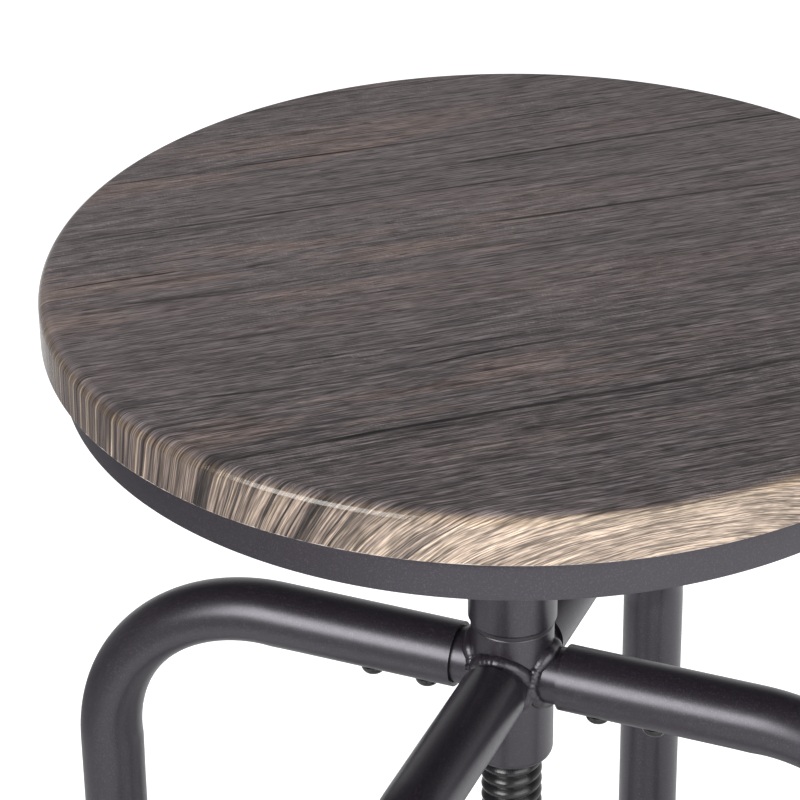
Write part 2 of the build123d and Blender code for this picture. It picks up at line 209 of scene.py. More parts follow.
class StageLooks(PropertyGroup):
    camera_turn: FloatProperty(
        name="Camera turn", description="Turn of the camera about the stool",
        default=radians(22.63), subtype="ANGLE")
    camera_pitch: FloatProperty(
        name="Camera pitch", description="How far the camera looks down",
        default=radians(29.805), subtype="ANGLE")
    camera_roll: FloatProperty(
        name="Camera roll", description="Roll of the camera", default=radians(-0.768), subtype="ANGLE")
    camera_back: FloatProperty(
        name="Camera back", description="From the stool's axis back to the camera",
        default=1045.99 * MM, unit="LENGTH")
    camera_aside: FloatProperty(
        name="Camera aside", description="From the stool's axis to the right",
        default=-40.35 * MM, unit="LENGTH")
    camera_above: FloatProperty(
        name="Camera above", description="Above the seat", default=546.34 * MM, unit="LENGTH")
    camera_lens: FloatProperty(
        name="Camera lens", description="Focal length on a 36 mm sensor, in mm", default=153.0, min=10)
    floor: FloatVectorProperty(
        name="Floor", description="Pale studio floor", default=linear("#d8d8d9"), subtype="COLOR")


class StoolLooks(PropertyGroup):
    seat: PointerProperty(type=SeatLooks)
    metal: PointerProperty(type=MetalLooks)
    stage: PointerProperty(type=StageLooks)


# Surfaces

# Sides of the tubes, the seat, the hub and the footrest
SIDES = 96
SEAT_SIDES = 360
HUB_SIDES = 128
RING_SIDES = 240
RING_TUBE_SIDES = 40
# Points closer than this are merged, and edges that turn more than this are sharp
MERGE = 1e-7
SHARP = radians(42)
# Round of a cut edge, as a share of its wall
CUT_ROUND = 0.3
# Longest step between points of the seat's outline
FILM_STEP = 6 * MM
# How much the film was stretched over the edge, across the grain and along it
STRETCH_ACROSS = 0.8
STRETCH_ALONG = 3.0
# Gaps between the hub's mouth and the spindle and between a foot cap and its leg
HUB_MOUTH_GAP = 0.3 * MM
CAP_GAP = 0.05 * MM
# How far the neck reaches down into the screw
NECK_SUNK = 4 * MM
# From the middle of a screw's socket to its flats
LEG_SCREW_SOCKET = 1.5 * MM
RING_SCREW_SOCKET = 2 * MM


def rounded(corners, closed=False, steps=8):
    """Outline through corners given as (x, y, round): a corner with a round becomes the arc of that
    radius that touches both of its sides, and a corner with none stays sharp."""
    corners = np.array(corners, float)
    places, rounds = corners[:, :2], corners[:, 2]
    before, after = np.roll(places, 1, 0), np.roll(places, -1, 0)
    if not closed:
        rounds[[0, -1]] = 0
    line = []
    for a, corner, b, size in zip(before, places, after, rounds):
        if size == 0:
            line.append(corner[None])
            continue
        back = (a - corner) / np.linalg.norm(a - corner)
        ahead = (b - corner) / np.linalg.norm(b - corner)
        half = np.arccos(back @ ahead) / 2
        middle = corner + (back + ahead) / np.linalg.norm(back + ahead) * size / np.sin(half)
        first = corner + back * size / np.tan(half) - middle
        last = corner + ahead * size / np.tan(half) - middle
        turn = pi - 2 * half
        share = np.linspace(0, 1, steps + 1)[:, None]
        arc = first * np.sin((1 - share) * turn) + last * np.sin(share * turn)
        line.append(middle + arc / np.sin(turn))
    return np.concatenate(line)


def spaced(outline, step):
    """The same outline with extra points, so that no side is longer than the step."""
    lengths = np.linalg.norm(np.diff(outline, axis=0), axis=1)
    counts = np.maximum(np.ceil(lengths / step), 1).astype(int)
    stretches = [np.linspace(a, b, n, endpoint=False) for a, b, n in zip(outline[:-1], outline[1:], counts)]
    return np.concatenate(stretches + [outline[-1:]])


def turned(outline, sides=SIDES):
    """Surface of revolution: each (radius, height) of the outline is carried once round the Z axis. The
    outline runs up the outside and down the inside, so that the faces point outwards."""
    angle = np.arange(sides) * tau / sides
    radius, height = outline[:, :1], outline[:, 1:]
    return np.stack([radius * np.cos(angle), radius * np.sin(angle), height + 0 * angle], -1)


def carried(section, path, first, second):
    """Surface of a section carried along a path: each point is the path's point plus the section's two
    offsets along the path's own first and second directions, whose cross product is the way forward."""
    return path[:, None] + section[..., :1] * first[:, None] + section[..., 1:] * second[:, None]


def about_axis(points, degrees):
    """Points turned about the stool's axis."""
    c, s = np.cos(radians(degrees)), np.sin(radians(degrees))
    return points @ np.array([[c, s, 0], [-s, c, 0], [0, 0, 1]])


def circle(radius, sides):
    """Points of a circle as two offsets, starting on the first."""
    angle = np.arange(sides) * tau / sides
    return radius * np.stack([np.cos(angle), np.sin(angle)], -1)


def lumps(angle, seed, waves=7):
    """Smooth irregular ripple round a circle, about -1 to 1: a sum of whole waves with seeded phases."""
    rng = np.random.default_rng(seed)
    count = np.arange(2, 2 + waves)
    phase = rng.uniform(0, tau, waves)
    return (np.sin(angle[..., None] * count + phase) / np.sqrt(count)).sum(-1) / 1.6


def quads(rows, columns, rows_close, columns_close):
    """Corner numbers of the faces of a grid, which may close on itself either way."""
    i = np.arange(rows if rows_close else rows - 1)[:, None]
    j = np.arange(columns if columns_close else columns - 1)[None]
    i_next, j_next = (i + 1) % rows, (j + 1) % columns
    corners = [i * columns + j, i * columns + j_next, i_next * columns + j_next, i_next * columns + j]
    return np.stack(corners, -1).reshape(-1, 4)


def add_piece(name, body, slot, sheets, replaced=(), film=None, cut=()):
    """One piece from surface grids, each given with whether its rows and its columns close, in its slot's
    finish, or in one for each grid where the slot has more. Poles and seams are merged, and `cut` gives
    planes (height, direction) past which the piece is cut off and closed."""
    points = np.concatenate([grid.reshape(-1, 3) for grid, _, _ in sheets])
    faces, start = [], 0
    for grid, rows_close, columns_close in sheets:
        faces.append(start + quads(*grid.shape[:2], rows_close, columns_close))
        start += grid.shape[0] * grid.shape[1]
    mesh = bpy.data.meshes.new(name)
    mesh.from_pydata(points, [], np.concatenate(faces))
    finishes = [finish_of(one) for one in SLOTS[slot]]
    if len(finishes) > 1:
        places = np.repeat(np.arange(len(faces)), [len(grid) for grid in faces])
        mesh.polygons.foreach_set("material_index", places.astype(np.int32))
    if film is not None:
        mesh.attributes.new("film", "FLOAT_VECTOR", "POINT").data.foreach_set("vector", film.ravel())
    shape = bmesh.new()
    shape.from_mesh(mesh)
    bmesh.ops.remove_doubles(shape, verts=shape.verts, dist=MERGE)
    for height, direction in cut:
        everything = shape.verts[:] + shape.edges[:] + shape.faces[:]
        made = bmesh.ops.bisect_plane(shape, geom=everything, plane_co=(0, 0, height),
                                      plane_no=(0, 0, direction), clear_outer=True)
        rim = [part for part in made["geom_cut"] if isinstance(part, bmesh.types.BMEdge)]
        bmesh.ops.contextual_create(shape, geom=rim)
    shape.to_mesh(mesh)
    shape.free()
    mesh.shade_smooth()
    mesh.set_sharp_from_angle(angle=SHARP)
    for one in finishes:
        mesh.materials.append(one)
    piece = bpy.data.objects.new(name, mesh)
    bpy.context.collection.objects.link(piece)
    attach(piece, body)
    if replaced:
        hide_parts(*replaced)
    return piece


# Finishes

# Sockets of a Mix node that mixes colours
SHARE, GROUND, COAT, MIXED = 0, 6, 7, 2


def fill(node, sockets):
    """Fill a node's sockets, in order or by key, with values or with other nodes' outputs."""
    for key, value in sockets.items() if isinstance(sockets, dict) else enumerate(sockets):
        if isinstance(value, bpy.types.NodeSocket):
            node.id_data.links.new(value, node.inputs[key])
        else:
            node.inputs[key].default_value = value


def add_node(tree, kind, sockets=(), out=0, **settings):
    """Add one node with its settings, fill its sockets, and give one of its outputs, or all where out is
    None."""
    made = tree.nodes.new(kind)
    for key, value in settings.items():
        setattr(made, key, value)
    fill(made, sockets)
    return made.outputs if out is None else made.outputs[out]


def new_finish(name):
    """Empty material with its tree and its main shader."""
    material = bpy.data.materials.new(name)
    material.use_nodes = True
    return material, material.node_tree, material.node_tree.nodes["Principled BSDF"]


def opaque(colour):
    return (*colour, 1.0)


# Layers of the wood print: length along the grain and width across it in mm, then noise detail
GRAIN = {
    "tone": (240, 34, 2.0),
    "patch": (60, 11, 3.0),
    "streak": (90, 3.2, 4.0),
    "fibre": (40, 1.4, 3.0),
    "fine": (18, 0.5, 2.0),
    "scratch": (5, 0.45, 1.0),
    "pore": (9, 0.5, 1.0),
    "fleck": (0.5, 3.0, 1.0),
    "fleck_place": (60, 40, 0.0),
    "band": (110, 5.5, 2.0),
    "line": (70, 1.4, 2.0),
    "trim": (2.5, 2.5, 2.0),
}
# How far apart in the noise the layers are taken, so that they differ
LAYER_APART = 7.3
# Sways of the grain, in mm: a wave's length and width, then its swing on top and on the edge
SWAYS = (
    (110, 50, 4.0, 4.0),
    (14, 7, 0.35, 0.35),
    (22, 9, 0.0, 1.8),
)
# Long dark streaks, in mm: across the grain at the first and the last end, width, then those ends along it
STREAKS = (
    (107.5, 106, 1.3, -126, 66),
    (115, 117, 1.3, 20, 90),
    (84, 86, 1.7, -8, 150),
    (66, 66, 1.4, -150, 38),
    (34, 34.5, 1.4, -165, -100),
    (35, 32, 1.8, -8, 125),
    (17, 10, 1.4, -140, -75),
    (-54, -59, 1.4, -135, -80),
    (-59, -53, 1.7, -85, 14),
    (-97, -91, 2.4, -240, 110),
    (-94.5, -93, 6.0, -240, -118),
    (-71, -68, 1.8, -240, -118),
)
# Length over which a streak fades at each end, in mm
STREAK_FADE = 20
# Bands of the print that hold its warm patches: middle and half width across the grain, in mm
WARM = ((24, 30), (-74, 17), (112, 20))
# What shows of each layer, eased: the layer, its noise from and to, then how much shows at first and at last.
# The last row is how far the print has changed to that of the edge, which starts part of the way round.
SHOWN = {
    "warm": ("tone", 0.48, 0.62, 0, 0.25),
    "patch": ("patch", 0.45, 0.59, 0, 0.90),
    "streak": ("streak", 0.55, 0.68, 0, 0.45),
    "fibre": ("fibre", 0.36, 0.64, 0, 1),
    "fine": ("fine", 0.36, 0.64, 0, 1),
    "scratch": ("scratch", 0.34, 0.66, 0, 1),
    "pore": ("pore", 0.58, 0.66, 0, 0.70),
    "hair": ("line", 0.60, 0.66, 0, 0.50),
    "fleck_place": ("fleck_place", 0.46, 0.58, 0, 1),
    "fleck": ("fleck", 0.58, 0.70, 0, 0.16),
    "edge_band": ("band", 0.46, 0.60, 0, 0.55),
    "edge_line": ("line", 0.585, 0.615, 0, 0.85),
    "edge_pale": ("line", 0.40, 0.37, 0, 0.34),
    "round_the_edge": ("edge", 0.06, 0.50, 0, 1),
}
# The brim's colour is strongest half way round, and gone on top and below the round
BRIM_SHARE = 0.32
# Even changes, in the same way: what each follows, from and to, then its first and last value
FADES = {
    "left": ("along", 50 * MM, -10 * MM, 0, 1),
    # front is painted shade: it darkens the top towards the front and leaves its back lighter, as a painted
    # sheen
    "front": ("across", -100 * MM, 20 * MM, 0.75, 1.03),
    "fibre_strength": ("across", -100 * MM, 0, 1.15, 0.65),
    "plain": ("along", -20 * MM, -90 * MM, 0.22, 1),
    # The edge's painted shade: it darkens the edge towards the left, where less light falls on it
    "edge_left_shade": ("along", -70 * MM, -155 * MM, 0, 1),
    "gold": ("along", -110 * MM, 0, 0.35, 1),
    "brim": ("edge", 0, 1, 0, 2 * BRIM_SHARE),
    "dull": ("edge", 0, 0.35, 0.62, 0.12),
    "broken": ("patch", 0.36, 0.56, 0.50, 1),
    "cut": ("ragged", 2.02, 2.035, 0, 1),
}
# Layers that show only as far as another does
WITHIN = (
    ("patch", "warm_band"), ("patch", "left"), ("fleck", "fleck_place"), ("long_streak", "broken"),
    ("edge_band", "plain"), ("edge_pale", "plain"), ("edge_line", "plain"),
)
# Colours of each part of the print: its ground, then its layers in order, with the colours that they lay over
COLOURS = {
    "top": (
        "film_grey", ("warm", "film_brown"), ("patch", "film_brown"), ("fleck", "trim"),
        ("streak", "film_dark"), ("hair", "film_dark"), ("pore", "film_dark"), ("long_streak", "film_dark"),
    ),
    "side": (
        # Over the side, edge brown is laid as painted shade towards the left
        "edge_tan", ("edge_left_shade", "edge_brown"), ("edge_band", "edge_brown"), ("edge_pale", "edge_pale"),
        ("edge_line", "film_dark"), ("long_streak", "film_dark"),
    ),
    "brim": ("film_dark", ("gold", "edge_gold")),
}
# How much the finest layers lighten and darken the print
FIBRES = {"fibre": 0.4, "fine": 0.8, "scratch": 0.6}


def film_finish(looks):
    """Wood-grain vinyl film, printed, embossed and drawn over a board: a dull satin grey-brown with dark
    pores and streaks along the grain, and a paler, glossier, stretched print where it turns down over the
    edge."""
    material, tree, shader = new_finish("wood_grain_vinyl_film")
    film = add_node(tree, "ShaderNodeAttribute", out="Vector", attribute_name="film")
    along, across, edge = add_node(tree, "ShaderNodeSeparateXYZ", (film,), out=None)
    swayed = swayed_grain(tree, along, across, edge)
    layer = {"along": along, "across": across, "edge": edge, **grain_layers(tree, along, swayed)}
    # The film's cut end below is ragged
    layer["ragged"] = add_node(tree, "ShaderNodeMath", (layer["trim"], 0.10, edge), operation="MULTIPLY_ADD")
    shown = {"warm_band": warm_bands(tree, swayed), "long_streak": long_streaks(tree, along, swayed)}
    for table, easing in ((SHOWN, "SMOOTHSTEP"), (FADES, "LINEAR")):
        for name, (source, *ends) in table.items():
            sockets = (layer[source], *ends)
            shown[name] = add_node(tree, "ShaderNodeMapRange", sockets, interpolation_type=easing)
    for name, other in WITHIN:
        shown[name] = add_node(tree, "ShaderNodeMath", (shown[name], shown[other]), operation="MULTIPLY")

    dip = add_node(tree, "ShaderNodeMath", (shown["pore"], shown["streak"]), operation="ADD")
    dip = add_node(tree, "ShaderNodeMath", (shown["fine"], dip), operation="SUBTRACT")
    emboss = add_node(tree, "ShaderNodeBump", {"Height": dip, "Strength": 0.4, "Distance": 0.05 * MM})
    fill(shader, {
        "Base Color": film_colour(tree, looks, shown), "Roughness": shown["dull"], "Normal": emboss,
        "Specular IOR Level": 0.35,
    })
    return material


def swayed_grain(tree, along, across, edge):
    """Place across the grain, which wanders: each sway adds its noise, less its middle, times its swing."""
    flat = add_node(tree, "ShaderNodeCombineXYZ", (along, across))
    swayed = across
    for length, width, on_top, on_edge in SWAYS:
        size = (1 / length / MM, 1 / width / MM, 0)
        wave = add_node(tree, "ShaderNodeVectorMath", (flat, size), operation="MULTIPLY")
        wave = add_node(tree, "ShaderNodeTexNoise", {"Vector": wave, "Scale": 1.0, "Detail": 1.0})
        wave = add_node(tree, "ShaderNodeMath", (wave, 0.5), operation="SUBTRACT")
        swing = add_node(tree, "ShaderNodeMapRange", (edge, 0, 1, on_top * MM, on_edge * MM))
        swayed = add_node(tree, "ShaderNodeMath", (wave, swing, swayed), operation="MULTIPLY_ADD")
    return swayed


def grain_layers(tree, along, swayed):
    """Noise of each layer of the print, drawn out along the grain."""
    place = add_node(tree, "ShaderNodeCombineXYZ", (along, swayed))
    layers = {}
    for order, (name, (length, width, detail)) in enumerate(GRAIN.items()):
        sockets = (place, (1 / length / MM, 1 / width / MM, 0), (0, 0, LAYER_APART * order))
        drawn = add_node(tree, "ShaderNodeVectorMath", sockets, operation="MULTIPLY_ADD")
        layers[name] = add_node(tree, "ShaderNodeTexNoise", {"Vector": drawn, "Scale": 1.0, "Detail": detail})
    return layers


def soft_band(tree, value, middle, half, core):
    """Band of a value about its middle, in mm: 1 within its core, eased to 0 at its half width."""
    off = add_node(tree, "ShaderNodeMath", (value, middle * MM), operation="SUBTRACT")
    off = add_node(tree, "ShaderNodeMath", (off,), operation="ABSOLUTE")
    return add_node(tree, "ShaderNodeMapRange", (off, half * MM, core * MM), interpolation_type="SMOOTHSTEP")


def warm_bands(tree, swayed):
    """Where the print may hold warm patches: the most of their soft bands."""
    warm = 0.0
    for middle, half in WARM:
        band = soft_band(tree, swayed, middle, half, half / 2)
        warm = add_node(tree, "ShaderNodeMath", (warm, band), operation="MAXIMUM")
    return warm


def long_streaks(tree, along, swayed):
    """The long dark streaks: each is a soft band about its own slanting line, faded out at its two ends."""
    streaks = 0.0
    for first, last, width, start, end in STREAKS:
        slope = (last - first) / (end - start)
        half = (end - start) / 2
        line = add_node(tree, "ShaderNodeMath", (along, -slope, swayed), operation="MULTIPLY_ADD")
        band = soft_band(tree, line, first - slope * start, width / 2, width / 4)
        ends = soft_band(tree, along, (start + end) / 2, half, half - STREAK_FADE)
        one = add_node(tree, "ShaderNodeMath", (band, ends), operation="MULTIPLY")
        streaks = add_node(tree, "ShaderNodeMath", (streaks, one), operation="MAXIMUM")
    return streaks


def film_colour(tree, looks, shown):
    """Colour of the print. Painted shade darkens its top to the front and leaves its back lighter, as a
    painted sheen. Its edge is plainer where the grain runs along the rim, and painted shade darkens it
    towards the left. The brown brim on the round is dark at the left and golden at the right."""
    part = {}
    for name, (ground, *coats) in COLOURS.items():
        part[name] = opaque(getattr(looks, ground))
        for layer, coat in coats:
            sockets = {SHARE: shown[layer], GROUND: part[name], COAT: opaque(getattr(looks, coat))}
            part[name] = add_node(tree, "ShaderNodeMix", sockets, out=MIXED, data_type="RGBA")
    # Painted shade: the top is scaled darker towards the front, a painted sheen towards its back
    sockets = {0: part["top"], "Scale": shown["front"]}
    colour = add_node(tree, "ShaderNodeVectorMath", sockets, operation="SCALE")
    brim = add_node(tree, "ShaderNodeMath", (shown["brim"], BRIM_SHARE), operation="PINGPONG")
    for share, coat in ((shown["round_the_edge"], part["side"]), (brim, part["brim"])):
        sockets = {SHARE: share, GROUND: colour, COAT: coat}
        colour = add_node(tree, "ShaderNodeMix", sockets, out=MIXED, data_type="RGBA")
    for name, swing in FIBRES.items():
        light = add_node(tree, "ShaderNodeMath", (shown[name], swing, -swing / 2), operation="MULTIPLY_ADD")
        sockets = (light, shown["fibre_strength"], 1.0)
        light = add_node(tree, "ShaderNodeMath", sockets, operation="MULTIPLY_ADD")
        colour = add_node(tree, "ShaderNodeVectorMath", {0: colour, "Scale": light}, operation="SCALE")
    sockets = {SHARE: shown["cut"], GROUND: colour, COAT: opaque(looks.trim)}
    return add_node(tree, "ShaderNodeMix", sockets, out=MIXED, data_type="RGBA")


def coat_finish(looks):
    """Polyester powder coat, baked on steel: satin charcoal with a fine grit and a faint orange peel."""
    material, tree, shader = new_finish("charcoal_powder_coat")
    place = add_node(tree, "ShaderNodeTexCoord", out="Object")
    sockets = {"Vector": place, "Scale": 1 / looks.coat_grit, "Detail": 2.0, "Roughness": 0.6}
    grit = add_node(tree, "ShaderNodeTexNoise", sockets)
    peel = add_node(tree, "ShaderNodeTexNoise", {"Vector": place, "Scale": 1 / (2.2 * MM), "Detail": 1.0})
    speck = add_node(tree, "ShaderNodeMapRange", (grit, 0.50, 0.74), interpolation_type="SMOOTHSTEP")
    sockets = {SHARE: speck, GROUND: opaque(looks.coat), COAT: opaque(looks.coat_speck)}
    colour = add_node(tree, "ShaderNodeMix", sockets, out=MIXED, data_type="RGBA")
    rough = add_node(tree, "ShaderNodeMapRange", (peel, 0, 1, 0.30, 0.38))
    height = add_node(tree, "ShaderNodeMath", (grit, 0.5, peel), operation="MULTIPLY_ADD")
    skin = add_node(tree, "ShaderNodeBump", {"Height": height, "Strength": 0.3, "Distance": 0.03 * MM})
    fill(shader, {
        "Base Color": colour, "Roughness": rough, "Normal": skin, "IOR": 1.6,
        "Specular Tint": (0.95, 0.92, 1.0, 1.0),
    })
    return material


def mottled(name, size, detail, ground, coat, rough, shows=(0, 1, 0, 1)):
    """Finish with a noise of this size in mm, which lays one colour over another as far as it shows, and
    takes the roughness from its first value to its last. Also gives the tree, the shader and the noise."""
    material, tree, shader = new_finish(name)
    place = add_node(tree, "ShaderNodeTexCoord", out="Object")
    sockets = {"Vector": place, "Scale": 1 / (size * MM), "Detail": detail}
    noise = add_node(tree, "ShaderNodeTexNoise", sockets)
    share = add_node(tree, "ShaderNodeMapRange", (noise, *shows))
    sockets = {SHARE: share, GROUND: opaque(ground), COAT: opaque(coat)}
    colour = add_node(tree, "ShaderNodeMix", sockets, out=MIXED, data_type="RGBA")
    dull = add_node(tree, "ShaderNodeMapRange", (noise, 0, 1, *rough))
    fill(shader, {"Base Color": colour, "Roughness": dull})
    return material, tree, shader, noise


def board_finish(looks):
    """Medium-density fibreboard, sanded: warm fawn with a soft fibrous mottle."""
    return mottled("sanded_fibreboard", 1.2, 4.0, looks.board, looks.edge_brown, (0.8, 0.8))[0]


def thread_finish(looks):
    """Black-oxide steel, rolled and oiled: deep black with a wet gloss, a little duller where it rubs."""
    worn = (0.5, 0.8, 0, 0.35)
    return mottled("oiled_black_oxide_steel", 3, 4.0, looks.gloss_black, looks.coat, (0.20, 0.36), worn)[0]


def zinc_finish(looks):
    """Zinc-plated steel, passivated: soft bluish grey metal with cloudy patches."""
    material, _, shader, _ = mottled("zinc_plated_steel", 4, 5.0, looks.zinc, looks.coat_speck, (0.28, 0.48))
    fill(shader, {"Metallic": 1.0})
    return material


def plastic_finish(looks):
    """Injection-moulded polypropylene: near-black with a dull spark-eroded texture."""
    material, tree, shader, grain = mottled(
        "moulded_black_polypropylene", 0.8, 3.0, looks.plastic_black, looks.coat, (0.46, 0.62))
    skin = add_node(tree, "ShaderNodeBump", {"Height": grain, "Strength": 0.4, "Distance": 0.05 * MM})
    fill(shader, {"Normal": skin})
    return material


# What makes each finish, and the group that holds its colours
FINISHES = {
    "wood_grain_vinyl_film": (film_finish, "seat"),
    "sanded_fibreboard": (board_finish, "seat"),
    "charcoal_powder_coat": (coat_finish, "metal"),
    "oiled_black_oxide_steel": (thread_finish, "metal"),
    "zinc_plated_steel": (zinc_finish, "metal"),
    "moulded_black_polypropylene": (plastic_finish, "metal"),
}


def finish_of(name):
    """The named finish, made the first time that it is asked for."""
    make, group = FINISHES[name]
    return bpy.data.materials.get(name) or make(getattr(bpy.context.scene.stool, group))


# Finishes of the pieces in each slot
SLOTS = {
    "wood_film": ("wood_grain_vinyl_film", "sanded_fibreboard"),
    "powder_coat": ("charcoal_powder_coat",),
    "black_screw": ("oiled_black_oxide_steel",),
    "black_thread": ("oiled_black_oxide_steel",),
    "black_plastic": ("moulded_black_polypropylene",),
}


# Pieces

class STOOL_OT_seat_board(Operator):
    """Round board wrapped in wood-grain film"""
    bl_idname = "stool.seat_board"
    bl_label = "Seat board"

    def execute(self, context):
        looks = context.scene.stool.seat
        inner, outer = SEAT_RADIUS / 2, SEAT_RADIUS - looks.bottom_round
        under = np.array([(0, SEAT_BOTTOM), (inner, SEAT_BOTTOM), (outer, SEAT_BOTTOM)])
        outline = rounded([
            (inner, SEAT_BOTTOM, 0),
            (SEAT_RADIUS, SEAT_BOTTOM, looks.bottom_round),
            (SEAT_RADIUS, SEAT_TOP, looks.top_round),
            (0, SEAT_TOP, 0),
        ], steps=12)[1:]
        outline = spaced(outline, FILM_STEP)
        angle = np.arange(SEAT_SIDES) * tau / SEAT_SIDES - looks.grain_turn
        film = film_places(outline, angle, looks.top_round)
        below = np.zeros((len(under), SEAT_SIDES, 3))
        add_piece("seat_board_film", "seat", "wood_film",
                  [(turned(one, SEAT_SIDES), False, True) for one in (outline, under)], ["seat_board"],
                  film=np.concatenate([film.reshape(-1, 3), below.reshape(-1, 3)]))
        return {"FINISHED"}


def film_places(outline, angle, top_round):
    """Place of the surface on its flat film, as along and across the grain, and how far over the edge it is:
    0 on top, 1 below the round, 2 at the lower end. A point lies in the direction of its radius, at its
    distance from the middle along the outline, less what the film was stretched where it goes over: more
    along the grain."""
    lengths = np.linalg.norm(np.diff(outline[::-1], axis=0), axis=1)
    distance = np.concatenate([[0], np.cumsum(lengths)])[::-1, None]
    brim = SEAT_RADIUS - top_round
    stretch = STRETCH_ACROSS + (STRETCH_ALONG - STRETCH_ACROSS) * np.cos(angle) ** 2
    flat = np.minimum(distance, brim) + np.maximum(distance - brim, 0) / stretch
    fall = (SEAT_TOP - outline[:, 1]) / top_round
    below = (SEAT_TOP - top_round - outline[:, 1]) / (SEAT_TOP - top_round - SEAT_BOTTOM)
    edge = np.clip(fall, 0, 1) + np.clip(below, 0, 1)
    return np.stack([flat * np.cos(angle), flat * np.sin(angle), edge[:, None] + 0 * angle], -1)


class STOOL_OT_seat_pan(Operator):
    """Pressed steel pan under the board, with its rim turned down"""
    bl_idname = "stool.seat_pan"
    bl_label = "Seat pan"

    def execute(self, context):
        looks = context.scene.stool.seat
        inside = PAN_RADIUS - looks.pan_sheet
        lip = looks.pan_sheet * CUT_ROUND
        outline = rounded([
            (0, PAN_TOP - looks.pan_sheet, 0),
            (inside, PAN_TOP - looks.pan_sheet, looks.pan_bend - looks.pan_sheet),
            (inside, PAN_BOTTOM, lip),
            (PAN_RADIUS, PAN_BOTTOM, lip),
            (PAN_RADIUS, PAN_TOP, looks.pan_bend),
            (0, PAN_TOP, 0),
        ])
        add_piece("seat_pan_dish", "seat", "powder_coat",
                  [(turned(outline, SEAT_SIDES), False, True)], ["seat_pan"])
        return {"FINISHED"}


class STOOL_OT_cover_sleeve(Operator):
    """Thin tube that covers the screw above the hub"""
    bl_idname = "stool.cover_sleeve"
    bl_label = "Cover sleeve"

    def execute(self, context):
        wall = context.scene.stool.metal.sleeve_wall
        taper_in, taper_up, edge = wall * 0.8, wall * 1.4, wall * 0.4
        outline = rounded([
            (SLEEVE_RADIUS - taper_in, SLEEVE_BOTTOM, 0),
            (SLEEVE_RADIUS, SLEEVE_BOTTOM + taper_up, edge),
            (SLEEVE_RADIUS, SLEEVE_TOP, edge),
            (SLEEVE_RADIUS - wall, SLEEVE_TOP, edge),
            (SLEEVE_RADIUS - wall, SLEEVE_BOTTOM, 0),
        ], closed=True, steps=4)
        add_piece("cover_sleeve_tube", "lift", "powder_coat",
                  [(turned(outline, HUB_SIDES), True, True)], ["cover_sleeve"])
        return {"FINISHED"}


class STOOL_OT_hub(Operator):
    """Hub tube with its lower end rolled in"""
    bl_idname = "stool.hub"
    bl_label = "Hub"

    def execute(self, context):
        looks = context.scene.stool.metal
        wall = looks.hub_wall
        # A little less than the whole roll, which leaves room for the lip
        roll = looks.hub_roll * 0.95
        mouth = SPINDLE_RADIUS + HUB_MOUTH_GAP
        lip = wall * CUT_ROUND
        outline = rounded([
            (mouth, HUB_BOTTOM, lip),
            (HUB_RADIUS, HUB_BOTTOM, roll),
            (HUB_RADIUS, HUB_TOP, looks.hub_top_round),
            (HUB_RADIUS - wall, HUB_TOP, lip),
            (HUB_RADIUS - wall, HUB_BOTTOM + wall, 0),
            (mouth, HUB_BOTTOM + wall, lip),
        ], closed=True)
        add_piece("hub_tube_rolled", "frame", "powder_coat",
                  [(turned(outline, HUB_SIDES), True, True)], ["hub_tube"])
        return {"FINISHED"}


class STOOL_OT_stubs(Operator):
    """Stubs welded to the hub, with their weld beads"""
    bl_idname = "stool.stubs"
    bl_label = "Stubs and welds"

    def execute(self, context):
        looks = context.scene.stool.metal
        for seed, (side, turn) in enumerate(LEG_TURNS.items()):
            tube = about_axis(stub_surface(looks.stub_wall), turn)
            add_piece(f"stub_{side}_tube", "frame", "powder_coat", [(tube, True, True)], [f"stub_{side}"])
            bead = about_axis(weld_surface(looks.weld_size, seed), turn)
            add_piece(f"weld_{side}", "frame", "powder_coat", [(bead, True, True)])
        return {"FINISHED"}


def saddle(radius, angle, hub):
    """Where a level tube of this radius meets the hub's round: the tube's own circle, moved along the tube
    until it lies at the hub's radius from the axis. The angle starts at the top."""
    aside, up = -radius * np.sin(angle), radius * np.cos(angle)
    return np.stack([np.sqrt(hub ** 2 - aside ** 2), aside, LEG_AXIS + up], -1)


def stub_surface(wall):
    """Tube wall from the hub's round to a square end: outside, end, inside, hub end."""
    angle = np.arange(SIDES) * tau / SIDES
    rows = []
    for radius, end in ((STUB_RADIUS, None), (STUB_RADIUS, STUB_END), (STUB_RADIUS - wall, STUB_END),
                        (STUB_RADIUS - wall, None)):
        row = saddle(radius, angle, HUB_RADIUS)
        if end is not None:
            row[:, 0] = end
        rows.append(row)
    return np.array(rows)


def weld_surface(size, seed):
    """Bead along the line where stub and hub meet: a circle carried round that line, half sunk in both,
    swollen and thinned by seeded lumps, with beads of spatter in places, as a bead looks that was laid by
    hand and then coated."""
    steps, ring = 480, 24
    angle = np.arange(steps) * tau / steps
    sunk = 0.1 * size
    line = saddle(STUB_RADIUS - sunk, angle, HUB_RADIUS - sunk)
    ahead = np.roll(line, -1, 0) - np.roll(line, 1, 0)
    ahead /= np.linalg.norm(ahead, axis=1)[:, None]
    out = np.stack([np.zeros(steps), -np.sin(angle), np.cos(angle)], -1)
    out -= ahead * (out * ahead).sum(1)[:, None]
    out /= np.linalg.norm(out, axis=1)[:, None]
    second = np.cross(ahead, out)
    spatter = np.clip(lumps(angle, seed + 5, 4), 0, 1) * lumps(4 * angle, seed + 9, 10)
    fuller_on_top, lumpy, spattered = 0.1, 0.14, 0.07
    fat = 1 + fuller_on_top * np.cos(angle) + lumpy * lumps(angle, seed, 11) + spattered * spatter
    section = size * fat[:, None, None] * circle(1, ring)
    return carried(section, line, out, second)


class STOOL_OT_legs(Operator):
    """Bent tube legs"""
    bl_idname = "stool.legs"
    bl_label = "Legs"

    def execute(self, context):
        looks = context.scene.stool.metal
        surface = leg_surface(looks.leg_wall, looks.leg_bend, looks.bend_flat)
        for side, turn in LEG_TURNS.items():
            add_piece(f"leg_{side}_tube", "frame", "powder_coat", [(about_axis(surface, turn), True, True)],
                      [f"leg_{side}"])
        return {"FINISHED"}


